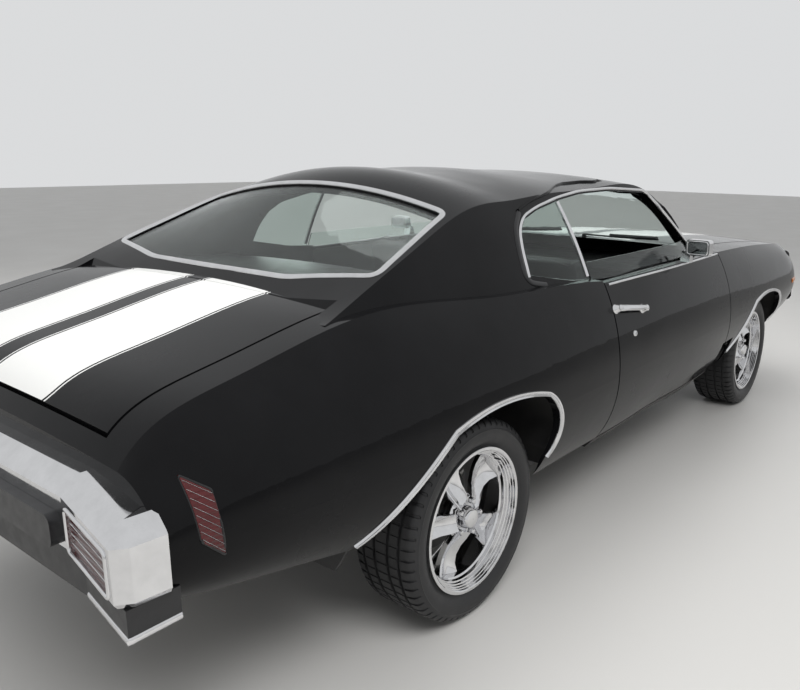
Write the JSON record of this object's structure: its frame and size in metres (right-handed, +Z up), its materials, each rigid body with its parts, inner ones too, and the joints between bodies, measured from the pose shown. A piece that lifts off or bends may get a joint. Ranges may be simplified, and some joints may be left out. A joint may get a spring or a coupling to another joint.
{
  "type": "two-door muscle car",
  "caption": "Two-door hardtop muscle car on five-spoke wheels, with opening doors, hood and deck lid, steering and rolling wheels.",
  "frame": {"origin": "on the ground, under the middle of the car's bounding box", "axes": "+X forward along the car, +Y to the car's left, +Z up"},
  "size_m": [5.009, 1.962, 1.4288],
  "materials": {
    "body_black": "deep gloss black enamel with clear coat, two white stripes",
    "chassis_black": "satin black underbody paint",
    "satin_black": "satin black",
    "chrome": "bright chrome plate",
    "wheel_chrome": "bright chrome plate on the wheels",
    "tyre_rubber": "dark rubber with a slight sheen",
    "rubber_black": "satin black rubber",
    "window_glass": "clear glass with a faint green tint",
    "lamp_clear": "clear ribbed lamp glass",
    "lamp_red": "deep red lens",
    "vinyl": "black grained vinyl",
    "cast_metal": "dark cast metal",
    "bare_steel": "dull steel"
  },
  "bodies": {
    "root": {"frame": "chassis_black", "floor_pan": "chassis_black", "firewall": "body_black", "front_fenders": "body_black", "quarter_panels": "body_black", "tail_panel": "body_black", "roof": "body_black", "wheel_houses": "chassis_black", "fixed_glass": "window_glass", "parcel_shelf": "satin_black", "front_suspension": "cast_metal", "rear_axle": "cast_metal", "engine": "cast_metal", "driveline": "cast_metal", "fuel_tank": "bare_steel", "exhausts": "bare_steel", "grille": "satin_black", "headlamps": "lamp_clear", "front_bumper": "chrome", "rear_bumper": "chrome", "valances": "satin_black", "rear_lamps": "lamp_red", "bumper_pad": "rubber_black", "front_seats": "vinyl", "rear_seat": "vinyl", "dashboard": "satin_black", "steering_wheel": "satin_black"},
    "hood_body": {"hood": "body_black"},
    "deck_body": {"deck_lid": "body_black"},
    "door_left_body": {"door_left": "body_black", "door_glass_left": "window_glass", "mirror_left": "chrome"},
    "door_right_body": {"door_right": "body_black", "door_glass_right": "window_glass", "mirror_right": "chrome"},
    "knuckle_left_body": {"knuckle_left": "cast_metal"},
    "knuckle_right_body": {"knuckle_right": "cast_metal"},
    "wheel_front_left": {"tyre_front_left": "tyre_rubber", "rim_front_left": "wheel_chrome"},
    "wheel_front_right": {"tyre_front_right": "tyre_rubber", "rim_front_right": "wheel_chrome"},
    "wheel_rear_left": {"tyre_rear_left": "tyre_rubber", "rim_rear_left": "wheel_chrome"},
    "wheel_rear_right": {"tyre_rear_right": "tyre_rubber", "rim_rear_right": "wheel_chrome"}
  },
  "joints": [
    {"name": "hood_hinge", "type": "hinge", "parent": "root", "child": "hood_body", "pos_m": [0.82536, 0, 0.96], "axis": [0, -1, 0], "range_deg": [0, 50]},
    {"name": "deck_hinge", "type": "hinge", "parent": "root", "child": "deck_body", "pos_m": [-1.61964, 0, 1.018], "axis": [0, 1, 0], "range_deg": [0, 60]},
    {"name": "door_left_hinge", "type": "hinge", "parent": "root", "child": "door_left_body", "pos_m": [0.93336, 0.91, 0.66], "axis": [0, 0, -1], "range_deg": [0, 65]},
    {"name": "door_right_hinge", "type": "hinge", "parent": "root", "child": "door_right_body", "pos_m": [0.93336, -0.91, 0.66], "axis": [0, 0, 1], "range_deg": [0, 65]},
    {"name": "steer_left", "type": "hinge", "parent": "root", "child": "knuckle_left_body", "pos_m": [1.53036, 0.668, 0.335], "axis": [0, 0, 1], "range_deg": [-33, 33]},
    {"name": "steer_right", "type": "hinge", "parent": "root", "child": "knuckle_right_body", "pos_m": [1.53036, -0.668, 0.335], "axis": [0, 0, 1], "range_deg": [-33, 33]},
    {"name": "spin_front_left", "type": "hinge", "parent": "knuckle_left_body", "child": "wheel_front_left", "pos_m": [1.53036, 0.76, 0.335], "axis": [0, 1, 0], "continuous": true},
    {"name": "spin_front_right", "type": "hinge", "parent": "knuckle_right_body", "child": "wheel_front_right", "pos_m": [1.53036, -0.76, 0.335], "axis": [0, 1, 0], "continuous": true},
    {"name": "spin_rear_left", "type": "hinge", "parent": "root", "child": "wheel_rear_left", "pos_m": [-1.31464, 0.76, 0.335], "axis": [0, 1, 0], "continuous": true},
    {"name": "spin_rear_right", "type": "hinge", "parent": "root", "child": "wheel_rear_right", "pos_m": [-1.31464, -0.76, 0.335], "axis": [0, 1, 0], "continuous": true}
  ],
  "couplings": [
    {"joint": "steer_right", "follows": "steer_left", "ratio": 1}
  ]
}
